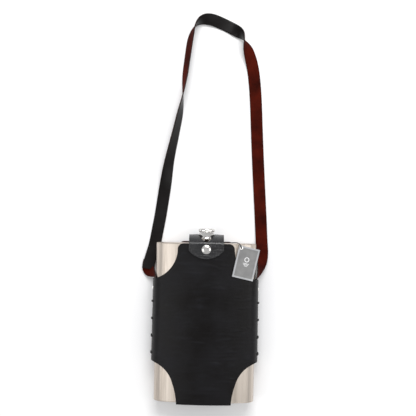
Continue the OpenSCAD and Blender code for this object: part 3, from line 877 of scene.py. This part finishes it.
def makeTab():
    half = tab["width"] / 2
    bowR = tab["bridgeR"] - tab["thick"] / 2
    flatZ = frontZ + flapOff
    low = -asin((tab["bridgeCz"] - tab["footZ"]) / bowR)
    top = asin(min(0.999, (flatZ - tab["bendDrop"] - tab["bridgeCz"]) / bowR))
    # each row: height, depth, half width. First the bow, then an easy bend, then the flap
    line = []
    for k in range(61):
        a = low + (top - low) * k / 60
        line.append((tab["bridgeCy"] + bowR * cos(a), tab["bridgeCz"] + bowR * sin(a), half))
    startY, startZ, _ = line[-1]
    for k in range(1, 7):
        t = k / 6
        line.append((startY - tab["bendRun"] * t, startZ + tab["bendDrop"] * (1 - (1 - t) ** 2), half))
    centreY = tab["endY"] + tab["endR"]
    spread = asin(half / tab["endR"])
    startY, roundY = line[-1][0], centreY - tab["endR"] * cos(spread)
    for k in range(1, 17):
        line.append((startY + (roundY - startY) * k / 16, flatZ, half))
    for k in range(1, 33):
        a = spread * (1 - k / 32.3)
        line.append((centreY - tab["endR"] * cos(a), flatZ, tab["endR"] * sin(a)))
    last = len(line) - 1

    def place(u, v):
        y, z, wide = line[round(v * last)]
        share = 2 * u - 1
        x = share * wide
        bow = x * x / (2 * (flask["frontR"] + flapOff))           # follows the bowed front
        blendIn = max(0.0, min(1.0, (z - 40) / 12))
        push = 0.0
        if y < shoulderY:
            fold = noise.noise(Vector((x * 0.055, y * 0.42, 3)))      # the creases of a worn flap
            push = tab["wrinkle"] * (0.5 + fold) * min(1, (shoulderY - y) / 4)
        # the bow lifts a little on both sides of the cap
        lift = 0.7 * max(0, 1 - abs(abs(x) - 14) / 9) * max(0, 1 - abs(z - 34) / 16)
        return x, y + lift, z - bow * blendIn + push

    piece = gridPiece("closureTab", 60, last, place)
    coverLeather(piece, flapGrain, flesh)
    takeUp(piece)
    snapSpot = Vector((0, tab["snapY"], frontZ)) * mm
    front = min(piece.data.polygons, key=lambda p: (p.center - snapSpot).length)
    if front.normal.z < 0:
        flipFaces(piece)
    thicken(piece, tab["thick"] - 0.1)
    return piece


# a round cutter through the tab, along Y or along Z
def tabCutter(radius, sides, y, z, alongY=True):
    clearSelection()
    depth, turn = (30, pi / 2) if alongY else (12, 0)
    bpy.ops.mesh.primitive_cylinder_add(vertices=sides, radius=radius * mm, depth=depth * mm,
                                        location=(0, y * mm, z * mm), rotation=(turn, 0, 0))
    return named("cutter")


# the opening for the cap, round behind and slotted to the front, and the snap's hole
def cutTab(piece):
    cutter = tabCutter(tab["holeR"], 72, shoulderY + 12, neckZ)
    settle(cutter)
    cutAway(piece, cutter)
    slotZ = neckZ + tab["slotLift"]
    cutter = tabCutter(tab["slotHalf"], 48, shoulderY + 15.6, slotZ)
    settle(cutter)
    for vert in cutter.data.vertices:
        if vert.co.z > slotZ * mm:
            vert.co.z += tab["slotGrow"] * mm
    cutAway(piece, cutter)
    cutter = tabCutter(tab["snapHole"], 48, tab["snapY"], frontZ + 5, False)
    applyModifier(cutter, "BEVEL", width=0.1 * mm, segments=1)
    settle(cutter)
    cutAway(piece, cutter)


closureTab = makeTab()
cutTab(closureTab)
easeEdges(closureTab, 0.4, 62)
smooth(closureTab, 45)
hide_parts("tab_bridge", "tab_flap")
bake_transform(closureTab)
print("tab ready")


# snap: domed cap with a rolled rim, spring socket, stud

snap = {      # each profile: radius and height over the tab, or over the sleeve for the stud
    "cap": [(0, 2.35), (1.8, 2.3), (3.6, 2.1), (5.0, 1.8), (5.9, 1.42), (6.35, 1.05), (6.6, 0.85),
            (6.95, 0.8), (7.2, 0.55), (7.2, 0.2), (7.0, 0.03), (3.6, 0.03), (2.6, -0.2), (0, -0.2)],
    "socket": [(3.6, -0.05), (3.6, -1.9), (3.8, -2.15), (4.6, -2.2), (5.15, -2.0), (5.2, -0.05),
               (3.6, -0.05)],
    "stud": [(0, 1.5), (1.9, 1.5), (2.6, 1.3), (2.9, 0.95), (2.75, 0.55), (2.3, 0.35), (2.3, 0.1),
             (3.6, 0.12), (4.2, 0.02), (2.2, 0.0), (2.2, -2.4), (0, -2.4)],
}
snapPlace = (0, tab["snapY"], frontZ + flapOff + tab["thick"] / 2)
studPlace = (0, tab["snapY"], frontZ + flask["gap"] + flask["hide"])
snapCap = lathe("snapCap", snap["cap"], snapPlace, (0, 0, 1))
finishPiece(snapCap, "flap", [chrome], ["snap_cap"])
snapSocket = lathe("snapSocket", snap["socket"], snapPlace, (0, 0, 1))
finishPiece(snapSocket, "flap", [chrome], ["snap_socket"])
snapStud = lathe("snapStud", snap["stud"], studPlace, (0, 0, 1), 48)
finishPiece(snapStud, rootBody, [chrome], ["snap_stud"])
print("snap ready")


# captive cap

cap = {      # each profile: radius and height from its own lower face
    "discLift": 17.9, "skirtLift": 5.0,
    "disc": [(0, 5.9), (7, 5.88), (10.4, 5.76), (11.8, 5.45), (12.8, 4.9), (13.3, 4.1), (13.4, 3.1),
             (13.4, 1.6), (13.2, 0.8), (12.7, 0.25), (12.0, 0.02), (0, 0.02)],
    "skirt": [(0, 12.88), (6.1, 12.88), (6.1, 11.2), (11.4, 11.2), (11.85, 10.95), (12.0, 10.4),
              (11.75, 10.0), (11.7, 9.6), (11.85, 9.3), (11.3, 4.5), (10.95, 0.6), (10.7, 0.1),
              (10.3, 0.0), (8.9, 0.0), (8.9, 8.0), (0, 8.0)],
}
capDisc = lathe("capDisc", cap["disc"], (0, shoulderY + cap["discLift"], neckZ), (0, 1, 0), 96)
finishPiece(capDisc, "cap", [chrome], ["cap_disc"])
capSkirt = lathe("capSkirt", cap["skirt"], (0, shoulderY + cap["skirtLift"], neckZ), (0, 1, 0), 96)
finishPiece(capSkirt, "cap", [chrome], ["cap_skirt"])
for node, name, width in (("cap_arm", "capArm", 0.3), ("hinge_bracket", "hingeBracket", 0.5),
                          ("hinge_pin", "hingePin", 0.15), ("neck_collar", "neckCollar", 0.2)):
    body = "arm" if node in ("cap_arm", "hinge_pin") else rootBody
    finishPiece(softCopy(node, name, width), body, [chrome], [node])
print("cap ready")


# flask: end plates with eased rims

for node, name in (("flask_shoulder", "shoulderPlate"), ("flask_base", "basePlate")):
    finishPiece(softCopy(node, name, 0.55), rootBody, [steel], [node])
for node, material in (("flask_body", steel), ("neck", chrome), ("cap_seal", rubber)):
    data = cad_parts[node].data
    data.materials.clear()
    data.materials.append(material)
print("flask ready")


# hang tag: a board with a raised pale border and a plain printed mark

tag = {"width": 35.0, "length": 51.0, "thick": 1.4, "border": 2.3, "lean": 15, "turn": -12.8, "y": 86.6,
       "corner": 4.0, "hole": 1.9, "panelDepth": 0.22,
       "eyelet": [(1.4, 1.75), (1.55, 1.95), (2.2, 2.0), (2.8, 1.85), (3.0, 1.62), (2.2, 1.55), (2.15, -0.1),
                  (1.5, -0.1), (1.4, 1.75)]}


# places the tag: flat on the bowed front, turned and leaning to the right
def onTag():
    reach = flask["frontR"] + flask["gap"] + flask["hide"]
    lean = radians(tag["lean"])
    spot = Vector((reach * sin(lean), tag["y"], frontCz + reach * cos(lean))) * mm
    return (Matrix.Translation(spot) @ Matrix.Rotation(lean, 4, "Y") @ Matrix.Translation((0, 0, 0.35 * mm))
            @ Matrix.Rotation(radians(tag["turn"]), 4, "Z"))


def makeTag():
    clearSelection()
    bpy.ops.mesh.primitive_cube_add(size=1, location=(0, 0, tag["thick"] / 2 * mm))
    card = named("hangTag")
    card.scale = (tag["width"] * mm, tag["length"] * mm, tag["thick"] * mm)
    settle(card)
    for material in (cardPanel, cardBorder):
        card.data.materials.append(material)
    bpy.ops.object.mode_set(mode="EDIT")
    bpy.ops.mesh.select_all(action="DESELECT")
    bpy.ops.object.mode_set(mode="OBJECT")
    for face in card.data.polygons:
        face.material_index = 1
        face.select = face.normal.z > 0.9
    bpy.ops.object.mode_set(mode="EDIT")
    bpy.ops.mesh.inset(thickness=tag["border"] * mm, depth=0)
    bpy.ops.mesh.inset(thickness=0.25 * mm, depth=-tag["panelDepth"] * mm)
    bpy.ops.object.mode_set(mode="OBJECT")
    for face in card.data.polygons:
        if face.select:
            face.material_index = 0
    bpy.ops.object.mode_set(mode="EDIT")
    bpy.ops.mesh.select_all(action="SELECT")
    bpy.ops.mesh.subdivide(number_cuts=3)
    bpy.ops.object.mode_set(mode="OBJECT")
    easeEdges(card, 0.22, 40)
    hole = Vector((-tag["width"] / 2 + tag["corner"], tag["length"] / 2 - tag["corner"], 0.7))
    punchHoles(card, [(hole, (0, 0, 1))], tag["hole"] + 0.3, 5)
    for vert in card.data.vertices:      # board cups very slightly
        vert.co.z += 0.25 * mm * (vert.co.y / (tag["length"] / 2 * mm)) ** 2
    card.data.transform(onTag())
    smooth(card, 30)
    finishPiece(card, rootBody, (), ["hang_tag"])

    ring = lathe("tagEyelet", tag["eyelet"], hole - Vector((0, 0, 0.7)), (0, 0, 1), 40)
    ring.data.transform(onTag())
    finishPiece(ring, rootBody, [chrome], ["tag_eyelet"])

    # a plain printed mark: a ring over three bars
    marks = []
    top = tag["thick"] - tag["panelDepth"]
    clearSelection()
    bpy.ops.mesh.primitive_torus_add(major_radius=3.4 * mm, minor_radius=0.55 * mm, major_segments=48,
                                     minor_segments=8, location=(0, 5.5 * mm, top * mm))
    marks.append(named("markRing"))
    marks[0].scale.z = 0.25
    settle(marks[0])
    for k, half in enumerate((5.2, 3.9, 2.6)):
        bpy.ops.object.select_all(action="DESELECT")
        bpy.ops.mesh.primitive_cube_add(size=1, location=(0, (-0.8 - 1.9 * k) * mm, top * mm))
        bar = named(f"markBar{k}")
        bar.scale = (2 * half * mm, 0.8 * mm, 0.24 * mm)
        settle(bar)
        applyModifier(bar, "BEVEL", width=0.08 * mm, segments=1)
        marks.append(bar)
    mark = joinParts(marks, "tagMark")
    mark.data.transform(onTag())
    finishPiece(mark, rootBody, [foil])


makeTag()
print("tag ready")


# floor and light

studio = {"floor": "f7f7f7", "key": 26, "fill": 6, "world": 0.56}
clearSelection()
bpy.ops.mesh.primitive_plane_add(size=6, location=(0, 0, -0.0002))
floor = named("studioFloor")
floorPaint, floorTree, floorShader = newMaterial("PaintedBoard",
                                                 {"Roughness": 0.8, "Specular IOR Level": 0.2})
floorPlace = addNode(floorTree, "TexCoord").outputs["Object"]
floorCloud = addNode(floorTree, "TexNoise", None, {"Vector": floorPlace, "Scale": 3, "Detail": 2})
colourBy(floorTree, floorShader, floorCloud.outputs["Fac"], [(0.3, "f2f2f3"), (0.7, studio["floor"])])
floor.data.materials.append(floorPaint)


def softLight(name, place, size, power, target=(0, 0.15, 0)):
    way = Vector(target) - Vector(place)
    bpy.ops.object.light_add(type="AREA", location=place)
    lamp = bpy.context.object
    lamp.name = name
    lamp.rotation_euler = way.to_track_quat("-Z", "Y").to_euler()
    lamp.data.shape = "RECTANGLE"
    lamp.data.size, lamp.data.size_y = size
    lamp.data.energy = power


softLight("keyBox", (0.15, 1.3, 1.5), (1.3, 0.9), studio["key"])
softLight("fillBox", (-1.2, -0.2, 1.3), (0.9, 1.2), studio["fill"])
softLight("rimBox", (1.2, 0.1, 1.1), (0.7, 1.2), studio["fill"] * 0.8)
bpy.context.scene.view_settings.view_transform = "Standard"      # plain sRGB, so pale stays pale
world = bpy.data.worlds.new("studioWorld")
bpy.context.scene.world = world
world.use_nodes = True
world.node_tree.nodes["Background"].inputs["Color"].default_value = linear("fbfbfc")
world.node_tree.nodes["Background"].inputs["Strength"].default_value = studio["world"]
print("stage ready")
